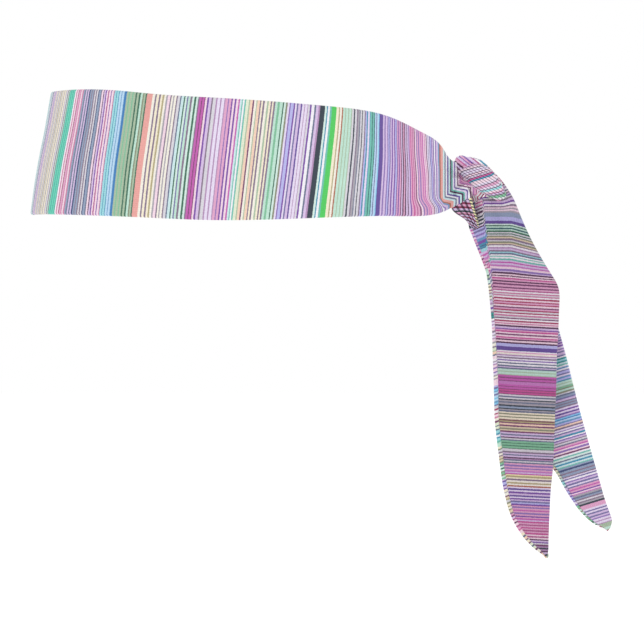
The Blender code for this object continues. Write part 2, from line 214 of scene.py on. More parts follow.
def knit(name, printed, shade=0.93, faded=0.0, wobble=0.30, pitch=1.73, line=0.0, hatch=None, tint=(1.0, 1.0, 1.0)):
    """Printed stretch knit. printed is [(start in mm along the strip, dye), ...], read from the Strip UV map,
    whose U is metres along the strip and V metres across it. The whole print is ruled with fine dark lines pitch mm
    apart, line deep; hatch is (mm apart, depth, share of the width) of a second ruling that runs along the strip, where
    plies show through."""
    made = bpy.data.materials.new(name)
    made.use_nodes = True
    tree = made.node_tree
    shader = tree.nodes["Principled BSDF"]
    strip = node(tree, "ShaderNodeUVMap", uv_map="Strip")
    split = node(tree, "ShaderNodeSeparateXYZ")
    tree.links.new(strip.outputs[0], split.inputs[0])
    u, v = split.outputs[0], split.outputs[1]

    # The ink creeps a little along the yarns, so no stripe has a ruled edge.
    creep = node(tree, "ShaderNodeTexNoise", noise_dimensions="2D")
    creep.inputs["Scale"].default_value = 1300.0
    creep.inputs["Detail"].default_value = 4.0
    creep.inputs["Roughness"].default_value = 0.75
    tree.links.new(strip.outputs[0], creep.inputs["Vector"])
    along = maths(tree, "ADD", u, maths(tree, "MULTIPLY", maths(tree, "SUBTRACT", creep.outputs[0], 0.5), wobble * 2 * MM))

    starts = [p for p, _ in printed]
    colour = None
    for first in range(0, len(printed), 30):
        chunk = printed[first : first + 30]
        low = chunk[0][0]
        high = starts[first + 30] if first + 30 < len(printed) else chunk[-1][0] + 4.0
        share = maths(tree, "DIVIDE", maths(tree, "SUBTRACT", along, low * MM), (high - low) * MM)
        ramp = node(tree, "ShaderNodeValToRGB")
        ramp.color_ramp.interpolation = "CONSTANT"
        elements = ramp.color_ramp.elements
        elements.remove(elements[1])
        elements[0].position = 0.0
        elements[0].color = linear(DYE[chunk[0][1]])
        for start, dye in chunk[1:]:
            elements.new((start - low) / (high - low)).color = linear(DYE[dye])
        tree.links.new(share, ramp.inputs[0])
        if colour is None:
            colour = ramp.outputs[0]
        else:
            colour = mixed(tree, maths(tree, "GREATER_THAN", along, low * MM), colour, ramp.outputs[0])

    # the fine ruling, with the lines' depth drifting from place to place
    drift = node(tree, "ShaderNodeTexNoise", noise_dimensions="2D")
    drift.inputs["Scale"].default_value = 95.0
    drift.inputs["Detail"].default_value = 1.0
    tree.links.new(strip.outputs[0], drift.inputs["Vector"])
    ruled = maths(tree, "SINE", maths(tree, "MULTIPLY", along, 2 * math.pi / (pitch * MM)))
    rule = node(tree, "ShaderNodeMapRange", interpolation_type="SMOOTHSTEP")
    rule.inputs["From Min"].default_value, rule.inputs["From Max"].default_value = 0.10, 0.80
    tree.links.new(ruled, rule.inputs["Value"])
    depth = maths(tree, "MULTIPLY", rule.outputs[0], maths(tree, "MULTIPLY_ADD", drift.outputs[0], line * 1.2, line * 0.4))
    ink = mixed(tree, depth, (1, 1, 1, 1), linear("#5b4a63"))
    colour = mixed(tree, 1.0, colour, ink, "MULTIPLY")
    if hatch:
        crossed = maths(tree, "SINE", maths(tree, "MULTIPLY", v, 2 * math.pi / (hatch[0] * MM)))
        band = node(tree, "ShaderNodeMapRange", interpolation_type="SMOOTHSTEP")
        edge = math.cos(math.pi * hatch[2])
        band.inputs["From Min"].default_value, band.inputs["From Max"].default_value = edge - 0.25, edge + 0.25
        tree.links.new(crossed, band.inputs["Value"])
        dark = mixed(tree, maths(tree, "MULTIPLY", band.outputs[0], hatch[1]), (1, 1, 1, 1), linear("#3c3350"))
        colour = mixed(tree, 1.0, colour, dark, "MULTIPLY")

    # yarns: wales run along the strip and courses across it, each loop painted a little lighter on its crown, a painted
    # highlight
    wale = maths(tree, "SINE", maths(tree, "MULTIPLY", v, 2 * math.pi / (1.0 * MM)))
    lean = maths(tree, "MULTIPLY", maths(tree, "ABSOLUTE", wale), 0.9)
    course = maths(tree, "SINE", maths(tree, "ADD", maths(tree, "MULTIPLY", u, 2 * math.pi / (0.75 * MM)), lean))
    loops = maths(tree, "MULTIPLY_ADD", course, 0.5, maths(tree, "MULTIPLY", wale, 0.5))
    mottle = node(tree, "ShaderNodeTexNoise", noise_dimensions="2D")
    mottle.inputs["Scale"].default_value = 1500.0
    mottle.inputs["Detail"].default_value = 3.0
    tree.links.new(strip.outputs[0], mottle.inputs["Vector"])
    patch = node(tree, "ShaderNodeTexNoise", noise_dimensions="2D")
    patch.inputs["Scale"].default_value = 60.0
    patch.inputs["Detail"].default_value = 3.0
    tree.links.new(strip.outputs[0], patch.inputs["Vector"])
    # painted highlight: the loops lift the colour on each loop's crown, over the base tone shade
    tone = maths(tree, "MULTIPLY_ADD", loops, 0.055, shade)
    tone = maths(tree, "ADD", tone, maths(tree, "MULTIPLY", maths(tree, "SUBTRACT", mottle.outputs[0], 0.5), 0.30))
    tone = maths(tree, "ADD", tone, maths(tree, "MULTIPLY", maths(tree, "SUBTRACT", patch.outputs[0], 0.5), 0.10))
    grey = node(tree, "ShaderNodeCombineColor")
    for socket in grey.inputs:
        tree.links.new(tone, socket)
    colour = mixed(tree, 1.0, colour, grey.outputs[0], "MULTIPLY")
    if tint != (1.0, 1.0, 1.0):
        colour = mixed(tree, 1.0, colour, (*tint, 1.0), "MULTIPLY")
    if faded:
        colour = mixed(tree, faded, colour, (0.80, 0.78, 0.82, 1.0))
    tree.links.new(colour, shader.inputs["Base Color"])

    bump = node(tree, "ShaderNodeBump")
    bump.inputs["Strength"].default_value = 0.35
    bump.inputs["Distance"].default_value = 0.12 * MM
    height = maths(tree, "ADD", loops, maths(tree, "MULTIPLY", mottle.outputs[0], 1.2))
    tree.links.new(height, bump.inputs["Height"])
    tree.links.new(bump.outputs[0], shader.inputs["Normal"])
    rough = maths(tree, "MULTIPLY_ADD", mottle.outputs[0], 0.15, 0.72)
    tree.links.new(rough, shader.inputs["Roughness"])
    shader.inputs["Specular IOR Level"].default_value = 0.22
    shader.inputs["Sheen Weight"].default_value = 0.18
    shader.inputs["Sheen Roughness"].default_value = 0.5
    return made


# ---- geometry helpers --------------------------------------------------------------------------------------
def cubic(knots, values, at):
    """Natural cubic spline through values at knots, read at each number of at."""
    x, y, at = np.asarray(knots, float), np.asarray(values, float), np.asarray(at, float)
    shape = at.shape
    at = at.ravel()
    y = y.reshape(len(x), -1)
    h = np.diff(x)
    n = len(x)
    a, b = np.zeros((n, n)), np.zeros((n, y.shape[1]))
    a[0, 0] = a[-1, -1] = 1.0
    for i in range(1, n - 1):
        a[i, i - 1], a[i, i], a[i, i + 1] = h[i - 1], 2 * (h[i - 1] + h[i]), h[i]
        b[i] = 6 * ((y[i + 1] - y[i]) / h[i] - (y[i] - y[i - 1]) / h[i - 1])
    m = np.linalg.solve(a, b)
    i = np.clip(np.searchsorted(x, at) - 1, 0, n - 2)
    left, right, w = (x[i + 1] - at)[:, None], (at - x[i])[:, None], h[i][:, None]
    out = (
        m[i] * left**3 / (6 * w)
        + m[i + 1] * right**3 / (6 * w)
        + (y[i] / w - m[i] * w / 6) * left
        + (y[i + 1] / w - m[i + 1] * w / 6) * right
    )
    return out.reshape(*shape, -1)


def ease(x):
    x = np.clip(x, 0.0, 1.0)
    return x * x * (3 - 2 * x)


def table(rows, at):
    rows = np.asarray(rows, float)
    return np.interp(at, rows[:, 0], rows[:, 1])


def grid_normals(points):
    """Unit normals of a grid of points, rows x columns x 3."""
    du = np.gradient(points, axis=0)
    dv = np.gradient(points, axis=1)
    n = np.cross(du, dv)
    return n / np.maximum(np.linalg.norm(n, axis=-1, keepdims=True), 1e-12)


def ply(name, points, uv, face_at, back_at, look, roll=None, normals=None, closed=False):
    """One ply of cloth as a closed solid. points is a grid (mm) of the strip's outer surface, rows along it and columns
    across, uv the same grid's print coordinates (mm). The ply's face lies face_at below that surface, its back back_at,
    and both long edges roll over from the face to the back. closed joins the last row to the first."""
    rows, cols = points.shape[:2]
    normals = grid_normals(points) if normals is None else normals
    if closed:
        du = np.roll(points, -1, axis=0) - np.roll(points, 1, axis=0)
        n = np.cross(du, np.gradient(points, axis=1))
        normals = n / np.maximum(np.linalg.norm(n, axis=-1, keepdims=True), 1e-12)
    thick = back_at - face_at
    roll = abs(thick) if roll is None else roll
    gap = np.linalg.norm(np.diff(points, axis=1), axis=-1)
    from_low = np.concatenate([np.zeros((rows, 1)), np.cumsum(gap, axis=1)], axis=1)
    inset = np.minimum(from_low, from_low[:, -1:] - from_low)
    x = np.clip(inset / roll, 0, 1)
    depth = face_at + thick * (1 - np.sqrt(1 - (1 - x) ** 2))
    face = points - normals * depth[..., None]
    back = points - normals * back_at
    ring = np.concatenate([face, back[:, -2:0:-1]], axis=1)
    ring_uv = np.concatenate([uv, uv[:, -2:0:-1]], axis=1)
    size = ring.shape[1]
    faces = []
    span = rows if closed else rows - 1
    for r in range(span):
        nxt = (r + 1) % rows
        for c in range(size):
            d = (c + 1) % size
            faces.append((r * size + c, r * size + d, nxt * size + d, nxt * size + c))
    if not closed:
        for r in (0, rows - 1):
            base = r * size
            for c in range(cols - 1):
                quad = [base + c, base + c + 1]
                for k in (c + 1, c):
                    if 0 < k < cols - 1:
                        quad.append(base + cols + (cols - 2 - k))
                faces.append(tuple(quad))
    mesh = bpy.data.meshes.new(name)
    mesh.from_pydata([tuple(p * MM) for p in ring.reshape(-1, 3)], [], faces)
    layer = mesh.uv_layers.new(name="Strip")
    flat = ring_uv.reshape(-1, 2) * MM
    index = np.empty(len(mesh.loops), int)
    mesh.loops.foreach_get("vertex_index", index)
    layer.data.foreach_set("uv", flat[index].astype(np.float32).ravel())
    mesh.materials.append(look)
    work = bmesh.new()
    work.from_mesh(mesh)
    bmesh.ops.recalc_face_normals(work, faces=work.faces)
    for edge in work.edges:
        if len(edge.link_faces) == 2 and edge.calc_face_angle(0.0) > math.radians(62):
            edge.smooth = False
    work.to_mesh(mesh)
    work.free()
    for polygon in mesh.polygons:
        polygon.use_smooth = True
    made = bpy.data.objects.new(name, mesh)
    bpy.context.scene.collection.objects.link(made)
    return made


def columns(width, count, roll):
    """Shares across a strip, crowded where its edges roll over."""
    near = np.array([0.0, 0.06, 0.22, 0.5, 1.0]) * roll / width
    middle = np.linspace(near[-1], 1 - near[-1], count)
    return np.concatenate([near[:-1], middle, 1 - near[-2::-1]])


# ---- the band ------------------------------------------------------------------------------------------------
STATIONS = [
    ((0.0, -105.2, -29.2), (0.0, -94.6, 31.2)),
    ((34.0, -96.4, -28.8), (33.5, -85.4, 32.0)),
    ((59.5, -69.2, -29.5), (58.5, -61.2, 31.4)),
    ((67.5, -53.6, -30.1), (66.5, -45.6, 29.9)),
    ((76.8, -17.4, -31.5), (75.2, -10.6, 27.7)),
    ((76.6, 31.6, -30.6), (73.8, 38.0, 24.1)),
    ((64.5, 64.0, -29.6), (59.5, 66.0, 20.3)),
    ((56.5, 72.3, -29.6), (52.0, 73.0, 18.0)),
    ((34.0, 90.4, -29.6), (33.0, 87.7, 10.9)),
    ((17.5, 99.2, -27.1), (17.0, 97.2, 3.4)),
    ((10.6, 102.4, -25.4), (10.3, 101.6, -2.5)),
    ((6.9, 106.6, -23.6), (6.7, 106.4, -4.6)),
    ((4.2, 111.6, -21.6), (4.1, 111.8, -8.0)),
]
CUT_WIDTH = [(0, 63), (120, 62), (190, 57), (240, 50), (262, 46), (290, 40)]  # of the flat strip, along it


def band_edges():
    lower = np.array([s[0] for s in STATIONS])
    upper = np.array([s[1] for s in STATIONS])
    step = (np.linalg.norm(np.diff(lower, axis=0), axis=1) + np.linalg.norm(np.diff(upper, axis=0), axis=1)) / 2
    along = np.concatenate([[0], np.cumsum(step)])
    flip = np.array([-1, 1, 1])
    return (
        np.concatenate([-along[:0:-1], along]),
        np.concatenate([lower[:0:-1] * flip, lower]),
        np.concatenate([upper[:0:-1] * flip, upper]),
    )


KNOTS, LOWER, UPPER = band_edges()
BAND_END = KNOTS[-1]


def pleats(s, v):
    """Gathers that run along the strip into the knot, in mm outwards."""
    near = BAND_END - np.abs(s)
    deep = ease((62.0 - near) / 52.0)
    start = ease((40.0 - near) / 34.0)
    wave = (
        0.85 * deep * np.sin(2 * math.pi * (2.1 * v + 0.16))
        + 1.00 * start * (1 - 2 * np.abs(np.sin(math.pi * (4.6 * v + 0.22))) ** 0.9)
        + 0.25 * start * np.sin(2 * math.pi * (7.4 * v + 0.6))
    )
    return wave * np.sin(math.pi * np.clip(v, 0, 1)) ** 0.35


def band_surface(s, v):
    """Outer surface of the strip round the head, on a grid of s (rows) and v (columns)."""
    s, v = np.meshgrid(s, v, indexing="ij")
    low, high = cubic(KNOTS, LOWER, s), cubic(KNOTS, UPPER, s)
    flat = low * (1 - v[..., None]) + high * v[..., None]
    out = flat * [1, 1, 0]
    out /= np.maximum(np.linalg.norm(out, axis=-1, keepdims=True), 1e-9)
    fade = np.clip((BAND_END - np.abs(s)) / 60.0, 0, 1)
    ripple = 0.35 * np.sin(s / 23.0 + 1.3 * np.sin(v * 4 + s / 61.0)) * np.sin(v * 5.0 + s / 47.0) * fade
    base = flat + out * (0.4 * 4 * v * (1 - v) * fade + ripple)[..., None]
    normal = grid_normals(base)
    normal *= np.sign(np.sum(normal * out, axis=-1, keepdims=True))
    # near the knot the gathers rise to the side, not along the strip
    share = ease((BAND_END - np.abs(s)) / 62.0)[..., None]
    rise = normal * (share + (1 - share) * np.array([1.0, 0.22, 0.35]))
    return base + rise * pleats(s, v)[..., None], s, v


STEP_AT = 260.3  # the print coordinate where the first step comes down


def gathered_print(y, z):
    """Print coordinate beside the knot, where the strip is gathered in steps: its stripes come down, turn back towards
    the knot nearly level, and go down again."""
    down = (y - 97.0) / 1.96
    level = (z + 21.3 + 0.2 * (y - 97.0)) / 2.2
    again = (y - 102.3) / 2.25
    steps = ease((y - 96.0) / 1.5)
    return STEP_AT + 2.8 * (down + steps * (np.median([down, level, again], axis=0) - down))


def band_uv(points, s, v):
    width = table(CUT_WIDTH, np.abs(s))
    y, z = points[..., 1], points[..., 2]
    near = ease((y - 88.0) / 9.0) * (s > 0)
    # before the steps, the stripes slant across towards the knot in the lower part
    slant = 6.4 * ease((y - 77.0) / 19.0) * (1 - ease((y - 96.0) / 1.5)) * ease((-20.4 - z) / 6.0) * (s > 0)
    printed = s + near * (gathered_print(y, z) - s) - slant
    return np.stack([printed, (v - 0.5) * width], axis=-1)


band_print = unseen(11, -BAND_END - 12, -1.0) + stripes(5, 0.0, BAND_PLAN)
lining_print = unseen(23, -BAND_END - 12, BAND_END + 12)
printed_band = knit("printed_knit_band", band_print, shade=0.895, tint=(0.99, 0.98, 1.0))
printed_lining = knit("printed_knit_lining", lining_print, faded=0.12, shade=0.91)

STRAP_T = 2.4
s_rows = np.concatenate([
    np.linspace(-BAND_END, -BAND_END + 70, 71)[:-1],
    np.linspace(-BAND_END + 70, BAND_END - 70, 121),
    np.linspace(BAND_END - 70, BAND_END, 71)[1:],
])
v_cols = columns(60.0, 37, 1.2)
surface, S, V = band_surface(s_rows, v_cols)
normals = grid_normals(surface)
outward = surface * [1, 1, 0]
if np.sum(normals * outward) < 0:
    normals = -normals
band_outer = ply("band_outer_ply", surface, band_uv(surface, S, V), 0.0, 1.16, printed_band, normals=normals)
band_lining = ply("band_lining_ply", surface, band_uv(surface, S, V), STRAP_T, 1.24, printed_lining, normals=normals)


# ---- the knot ------------------------------------------------------------------------------------------------
TURN_AXIS = math.radians(-38.7)  # the outer turn runs down and back
DOWN = np.array([0.0, math.cos(TURN_AXIS), math.sin(TURN_AXIS)])
ACROSS = np.array([0.0, -math.sin(TURN_AXIS), math.cos(TURN_AXIS)])
LEFT = np.array([1.0, 0.0, 0.0])
TURN_AT = np.array([0.0, 118.3, -12.0])
# the turn's upper and lower edges in its own plane: (along DOWN, along ACROSS)
TURN_UPPER = [(-17.7, -1.2), (-17.3, 0.2), (-16.1, 2.2), (-12.0, 4.5), (-8.4, 6.0), (-5.1, 6.1), (0.6, 5.3), (6.6, 3.9), (11.1, 1.3), (12.9, -2.0)]
TURN_LOWER = [(-17.7, -2.6), (-16.1, -4.6), (-14.4, -6.2), (-6.9, -7.0), (-1.5, -7.5), (5.2, -6.3), (11.4, -5.2), (12.9, -3.8)]
TURN_FOLD = [(-15.2, -9.0), (-13.4, -5.6), (-12.8, -3.8), (-12.0, -2.0), (-11.2, 0.0), (-10.5, 1.8), (-8.6, 3.1), (-6.1, 4.5), (-2.9, 5.4), (2.0, 6.5)]

turn_look = knit("printed_knit_turn", shade=0.93, line=0.0, hatch=(1.27, 0.66, 0.32), printed=stripes(
    8, -60, "46 petal, 7.5 twill, 3.4 twill, 0.9 hotpink, 1 lake, 2 blush, 1.4 twill, 1.4 pink, 1.4 twill, 1.2 aqua, 1.6 roses, 1.4 twill, 1.4 leaf, 1.6 roses, 60 berry",
    pitch=1.3, pale_share=(0.56, 0.70)))
ridge_look = knit("printed_knit_ridge", shade=0.96, line=0.0, printed=stripes(9, -40, "44 berry, 30 pale", pitch=1.7))
fold_look = knit("printed_knit_fold", shade=0.85, line=0.0, hatch=(2.3, 0.80, 0.46), printed=stripes(10, -80, "160 checks", pitch=2.4, pale_share=(0.48, 0.54)))
gathered_look = knit("printed_knit_gathered", unseen(37, -60, 60, "roses dusks orchids heather lagoon petal"), shade=0.86)
edge_look = knit("lining_knit_edge", shade=0.95, line=0.0, printed=[
    (-60 + 0.8 * k, ("straw", "ink")[k % 2]) for k in range(150)])


def outer_turn():
    """The strap's turn over the knot: an oval ring with a swelling, creased face."""
    count, across_count = 150, 30
    a = np.linspace(2 * math.pi, 0, count, endpoint=False)[:, None]
    w = np.linspace(0, 1, across_count)[None, :]
    d_mid = -2.4 + 13.5 * np.cos(a)
    upper, lower = table(TURN_UPPER, d_mid), table(TURN_LOWER, d_mid)
    c = lower + (upper - lower) * w
    round_out = np.sqrt(np.clip(1 - (2 * w - 1) ** 2, 0, 1))
    crease = (
        0.55 * np.abs(np.sin(math.pi * (2.6 * w + 0.10 + 0.05 * np.sin(a * 2)))) ** 0.6
        + 0.18 * np.sin(2 * math.pi * (5.3 * w + 0.2 * np.sin(a)))
        - 0.5
    )
    fold_c = table(TURN_FOLD, d_mid)
    groove = np.exp(-(((c - fold_c) / 0.65) ** 2)) * (np.sin(a) > -0.2) * ((d_mid > -15) & (d_mid < -3))
    out = 2.5 * round_out + 0.75 * crease * round_out - 1.05 * groove
    reach = 1.0 + 0.012 * np.sin(3 * a + 0.7)
    tangent_out_d, tangent_out_x = np.cos(a) / 13.5, np.sin(a) / 10.2
    length = np.sqrt(tangent_out_d**2 + tangent_out_x**2)
    nd, nx = tangent_out_d / length, tangent_out_x / length
    # both edges roll in over the gathered cloth, most of all along the turn's sides
    out = out - (0.5 + 2.0 * np.abs(nx)) * ease((w - 0.72) / 0.28) - (0.3 + 1.0 * np.abs(nx)) * ease((0.22 - w) / 0.22)
    d = d_mid * reach + nd * out
    x = 10.4 * np.sign(np.sin(a)) * np.abs(np.sin(a)) ** 0.62 * reach + nx * out
    points = TURN_AT + d[..., None] * DOWN + c[..., None] * ACROSS + x[..., None] * LEFT
    u = d_mid + 0 * w - 0.61 * c
    u = u + 24.0 * ease(-np.sin(a) * 1.6)  # round the far side another length of print shows
    uv = np.stack([u, 0.995 * c - 0.10 * d_mid], axis=-1)
    made = ply("knot_wrap_turn", points, uv, 0.0, 2.3, turn_look, roll=1.2, closed=True)
    made.data.materials.append(ridge_look)
    # above the fold line the cloth comes over the top, and its stripes run along the turn
    layer = made.data.uv_layers["Strip"]
    for polygon in made.data.polygons:
        mid = np.array(polygon.center) / MM - TURN_AT
        dd, cc, xx = mid @ DOWN, mid @ ACROSS, mid[0]
        if xx > -2 and cc > np.interp(dd, [p[0] for p in TURN_FOLD], [p[1] for p in TURN_FOLD]) and dd < 0:
            polygon.material_index = 1
            for k in polygon.loop_indices:
                p = np.array(made.data.vertices[made.data.loops[k].vertex_index].co) / MM - TURN_AT
                layer.data[k].uv = ((p @ ACROSS) * MM, (p @ DOWN) * MM)
    return made


def stepped(made, test):
    """Give the polygons that pass test the band's own print, in the gathered steps beside the knot."""
    made.data.materials.append(printed_band)
    slot = len(made.data.materials) - 1
    layer = made.data.uv_layers["Strip"]
    for polygon in made.data.polygons:
        if test(np.array(polygon.center) / MM):
            polygon.material_index = slot
            for k in polygon.loop_indices:
                p = np.array(made.data.vertices[made.data.loops[k].vertex_index].co) / MM
                layer.data[k].uv = (float(gathered_print(p[1], p[2])) * MM, p[0] * MM)


def above_checks(p):
    """Whether a place is above the dark checkered fold under the knot."""
    return p[2] > -26.0 + 0.58 * (p[1] - 101.2)


def bundle():
    """The gathered cloth inside the knot: it fills the turn, in folds that run from one end of it to the other."""
    rows, cols = 84, 132
    t = np.linspace(-1, 1, rows)
    t = np.sign(t) * np.abs(t) ** 0.75 * 0.999
    phi = np.linspace(0, 2 * math.pi, cols, endpoint=False)[None, :]
    height = t[:, None]
    girth = np.where(height > 0, (1 - np.abs(height) ** 9.0) ** 0.5, (1 - np.abs(height) ** 3.0) ** (1 / 2.2))
    lower = np.clip(-height, 0, 1)
    folds = (0.085 * np.abs(np.sin(4 * phi + 1.5 * height)) ** 0.7 - 0.055) * (0.25 + 1.4 * lower**1.5)
    size = girth * (1.0 + folds)
    x = 9.3 * np.sign(np.sin(phi)) * np.abs(np.sin(phi)) ** 0.75 * size
    d = -2.2 + 12.1 * np.cos(phi) * size
    # over the turn's opening the folds lie side by side, just below its edge
    top = table(TURN_UPPER, d + 0.4) + 4.3 - 1.15 + 0.95 * np.abs(np.sin(math.pi * (x + 1.1) / 4.4)) ** 0.7
    c = np.where(height > 0, np.minimum(10.6 * height, top), 8.0 * height - 0.6 * np.cos(4 * phi) * girth * height)
    middle = np.array([0.0, 115.9, -15.6])
    points = middle + x[..., None] * LEFT + d[..., None] * DOWN + c[..., None] * ACROSS
    chevron = 2.8 * np.abs(np.mod(x / 8.8 + 0.125, 1.0) - 0.5) * 2
    uv = np.stack([d + chevron + 0.25 * c, x + 0 * d], axis=-1)
    faces, flat = [], points.reshape(-1, 3)
    for r in range(rows - 1):
        for k in range(cols):
            n = (k + 1) % cols
            faces.append((r * cols + k, r * cols + n, (r + 1) * cols + n, (r + 1) * cols + k))
    faces.append(tuple(range(cols)))
    faces.append(tuple((rows - 1) * cols + k for k in range(cols - 1, -1, -1)))
    mesh = bpy.data.meshes.new("knot_bundle")
    mesh.from_pydata([tuple(p * MM) for p in flat], [], faces)
    layer = mesh.uv_layers.new(name="Strip")
    uv_flat = uv.reshape(-1, 2) * MM
    for loop in mesh.loops:
        layer.data[loop.index].uv = uv_flat[loop.vertex_index]
    mesh.materials.append(gathered_look)
    work = bmesh.new()
    work.from_mesh(mesh)
    bmesh.ops.recalc_face_normals(work, faces=work.faces)
    work.to_mesh(mesh)
    work.free()
    for polygon in mesh.polygons:
        polygon.use_smooth = True
    made = bpy.data.objects.new("knot_bundle", mesh)
    bpy.context.scene.collection.objects.link(made)
    stepped(made, lambda p: p[0] > 1.0 and p[1] < 114.0 and above_checks(p) and (p - TURN_AT) @ ACROSS < 1.0)
    return made


def under_fold():
    """The strap's lower edge, rolling under the knot and down into the left tail."""
    ends = np.array([
        # front edge y, z, rear edge y, z, x at the front, x at the rear
        (98.8, -19.0, 109.0, -14.0, 6.6, 9.6),
        (100.4, -25.6, 110.4, -18.4, 5.8, 10.4),
        (102.6, -28.6, 111.4, -22.4, 5.0, 10.6),
        (105.4, -30.4, 112.2, -26.0, 4.6, 10.6),
        (107.8, -32.2, 113.0, -29.4, 4.4, 10.2),
        (109.6, -34.6, 113.9, -32.8, 4.4, 9.6),
        (111.6, -37.0, 114.4, -35.4, 4.6, 9.0),
    ])
    u = np.linspace(0, 6, 46)
    v = np.concatenate([[0, 0.03, 0.08], np.linspace(0.14, 0.86, 17), [0.92, 0.97, 1]])
    e = cubic(np.arange(7), ends, u)
    front = np.stack([e[:, 4], e[:, 0], e[:, 1]], axis=-1)[:, None]
    rear = np.stack([e[:, 5], e[:, 2], e[:, 3]], axis=-1)[:, None]
    t = v[None, :, None]
    points = front * (1 - t) + rear * t
    belly = (np.sin(math.pi * v) ** 0.8)[None, :] * (1.9 - 0.16 * u[:, None])
    furrow = 0.55 * np.cos(2 * math.pi * (2.3 * v[None, :] + 0.06 * u[:, None])) * np.sin(math.pi * v)[None, :]
    points[..., 0] += belly + furrow
    lean = 0.9 * (v[None, :] - 0.5) * 9
    uv = np.stack([u[:, None] * 3.6 - lean - 22, np.broadcast_to(v[None, :] * 11, (46, len(v)))], axis=-1)
    made = ply("knot_under_fold", points, uv, 0.0, 1.5, fold_look, roll=0.9)
    # the other ply's edge shows along the fold
    made.data.materials.append(edge_look)
    span = len(v)
    for polygon in made.data.polygons:
        columns_in = [k % (2 * span - 2) for k in polygon.vertices]
        if all(span - 4 <= k <= span for k in columns_in):
            polygon.material_index = 1
    stepped(made, above_checks)
    return made


wrap, lump, under = outer_turn(), bundle(), under_fold()

# ---- the tails -----------------------------------------------------------------------------------------------
TAIL_X = 8.0
TAIL_T = 2.1


class Tail:
    """One tail, in its own plane: offset towards the back of the head, and distance down from its pivot."""

    def __init__(self, side, pivot, lean, front, crease, rear, tilt, fold_tilt, x_at, end):
        self.side, self.pivot, self.lean = side, np.array(pivot), math.radians(lean)
        self.front_rows, self.crease_rows, self.rear_rows = front, crease, rear
        self.tilt, self.fold_tilt, self.x_at, self.end = tilt, fold_tilt, x_at, end
        self.sign = 1 if side == "left" else -1

    def smooth(self, rows, s):
        rows = np.asarray(rows, float)
        fine = np.linspace(rows[0, 0], rows[-1, 0], 600)
        raw = np.interp(fine, rows[:, 0], rows[:, 1])
        kernel = np.hanning(27)
        padded = np.concatenate([2 * raw[0] - raw[13:0:-1], raw, 2 * raw[-1] - raw[-2:-15:-1]])
        even = np.convolve(padded, kernel / kernel.sum(), mode="valid")
        return np.interp(s, fine, even)

    def edges(self, s):
        return self.smooth(self.front_rows, s), self.smooth(self.crease_rows, s), self.smooth(self.rear_rows, s)

    def relief(self, off, s):
        """How far the cloth stands out to the side at each place."""
        front, crease, rear = self.edges(s)
        open_out = 1 - ease((s - 6.0) / 42.0)
        behind = np.clip((crease - off) / np.maximum(crease - front, 0.8), 0, 1)
        across = np.clip((off - crease) / np.maximum(rear - crease, 1.0), 0, 1)
        fold = -(0.5 + 6.0 * open_out) * behind**1.25
        crown = (1.5 * open_out + 0.5) * (1 - across) ** 2 - 0.9 * across**3
        gather = ease((34.0 - s) / 34.0)
        furrows = gather * (
            0.75 * np.cos(2 * math.pi * (1.7 * across + 0.012 * s)) + 0.35 * np.cos(2 * math.pi * (3.9 * across - 0.02 * s + 0.3))
        ) * np.sin(math.pi * across)
        # the hanging strip cups across its width, and rolls slowly from one side to the other on its way down
        width = np.clip((off - front) / np.maximum(rear - front, 1.0), 0, 1)
        thin = np.clip((rear - front) / 16.0, 0, 1) ** 1.5  # the narrow point lies flat
        cup = thin * 2.6 * self.sign * ease((s - 8.0) / 40.0) * (1 - 0.45 * ease((s - 90.0) / 70.0)) * (4 * width * (1 - width) - 0.5)
        roll = thin * 2.2 * np.sin(s / 31.0 + 0.8 * self.sign) * (width - 0.5) * ease((s - 12.0) / 40.0) * 2
        sway = (1.6 * np.sin(s / 38.0 + 0.6 * self.sign) + 0.35 * np.sin(s / 13.0 + off / 12.0)) * ease((s + 2.0) / 40.0)
        # the top end is tucked in under the turn
        tuck = (-5.2 if self.sign > 0 else 2.8) * (1 - ease((s + 25.0) / 34.0))
        return fold + crown + furrows + cup + roll + sway + tuck

    def place(self, off, s, x):
        c, k = math.cos(self.lean), math.sin(self.lean)
        y = self.pivot[0] + off * c + s * k
        z = self.pivot[1] + off * k - s * c
        return np.stack([x, y, z], axis=-1)

    def surface(self, s_rows, front_shift, rear_shift, count):
        s = np.asarray(s_rows, float)[:, None]
        front, crease, rear = self.edges(s)
        front, rear = front + front_shift, rear + rear_shift
        middle = (front + rear) / 2
        front, rear = np.minimum(front, middle - 0.25), np.maximum(rear, middle + 0.25)
        v = columns(24.0, count, 1.0)[None, :]
        off = front + (rear - front) * v
        return self.place(off, s + 0 * off, self.x_at + self.relief(off, s + 0 * off)), self.print_at(off, s + 0 * off, crease)

    def print_at(self, off, s, crease):
        if self.side == "left":
            # the upper part bends over a soft fold in the middle, and its stripes run down past it
            bent = 1 - ease((s - 12.0) / 24.0)
            slope = (0.27 * bent + 0.055 * (1 - bent)) * np.maximum(off - 6.5, 0) + (0.0 * bent + 0.075 * (1 - bent)) * np.minimum(off - 6.5, 0)
            # where it comes round from behind the knot they still rise towards its outer edge
            slope = slope - 0.5 * (1 - ease((s + 14.0) / 14.0)) * np.maximum(off - 2.0, 0)
            main = s - slope + (0.27 * bent + 0.055 * (1 - bent)) * 5.0
        else:
            main = s
        return np.stack([np.where(off >= crease, main, s + self.fold_tilt * (off - crease)), off], axis=-1)

    def point(self, s):
        """A point on the tail's middle line, in metres."""
        return tuple(float(c) * MM for c in self.place(np.array(0.0), np.array(float(s)), np.array(self.sign * TAIL_X)))


